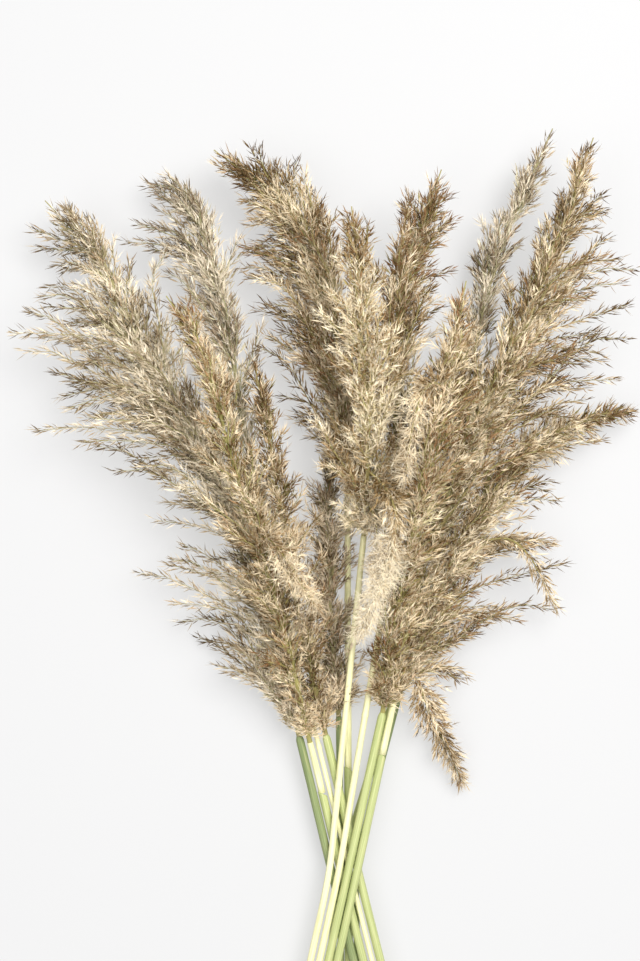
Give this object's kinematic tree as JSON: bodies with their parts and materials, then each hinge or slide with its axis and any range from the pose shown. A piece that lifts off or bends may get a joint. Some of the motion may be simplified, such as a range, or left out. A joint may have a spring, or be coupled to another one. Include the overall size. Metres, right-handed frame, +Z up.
{
  "type": "bundle of pampas grass",
  "caption": "Loose bundle of dried plume grass: feathery tan and brown plumes fan out from green and straw stems that cross below them.",
  "frame": {"origin": "on the surface that the bundle lies on, under the place where the stems cross, on the flat underside of the lowest stem", "axes": "+Y along the stems towards the tips of the plumes, +Z up from the surface, +X to the right seen from above"},
  "size_m": [0.5179, 0.9201, 0.1507],
  "materials": {
    "tan_plume": "dry, fluffy",
    "brown_plume": "dry, fluffy",
    "grey_plume": "dry, fluffy",
    "cream_plume": "dry, fluffy",
    "straw_culm": "smooth, faintly ribbed",
    "green_sheath": "dry leaf, ribbed",
    "dark_green_sheath": "dry leaf, ribbed"
  },
  "bodies": {
    "root": {"bare_culm_02": "straw_culm", "bare_culm_03": "straw_culm", "bare_culm_06": "straw_culm", "bare_culm_07": "straw_culm", "bare_culm_08": "straw_culm", "bare_culm_10": "straw_culm", "plume_01": "tan_plume", "plume_02": "tan_plume", "plume_03": "grey_plume", "plume_04": "brown_plume", "plume_05": "grey_plume", "plume_06": "tan_plume", "plume_07": "cream_plume", "plume_08": "tan_plume", "plume_09": "tan_plume", "plume_10": "tan_plume", "plume_11": "grey_plume", "plume_12": "tan_plume", "sheathed_stem_01": "dark_green_sheath", "sheathed_stem_02": "green_sheath", "sheathed_stem_03": "green_sheath", "sheathed_stem_04": "green_sheath", "sheathed_stem_05": "dark_green_sheath", "sheathed_stem_06": "green_sheath", "sheathed_stem_07": "green_sheath", "sheathed_stem_08": "green_sheath", "sheathed_stem_09": "green_sheath", "sheathed_stem_10": "green_sheath", "sheathed_stem_11": "dark_green_sheath", "sheathed_stem_12": "green_sheath"}
  },
  "joints": []
}
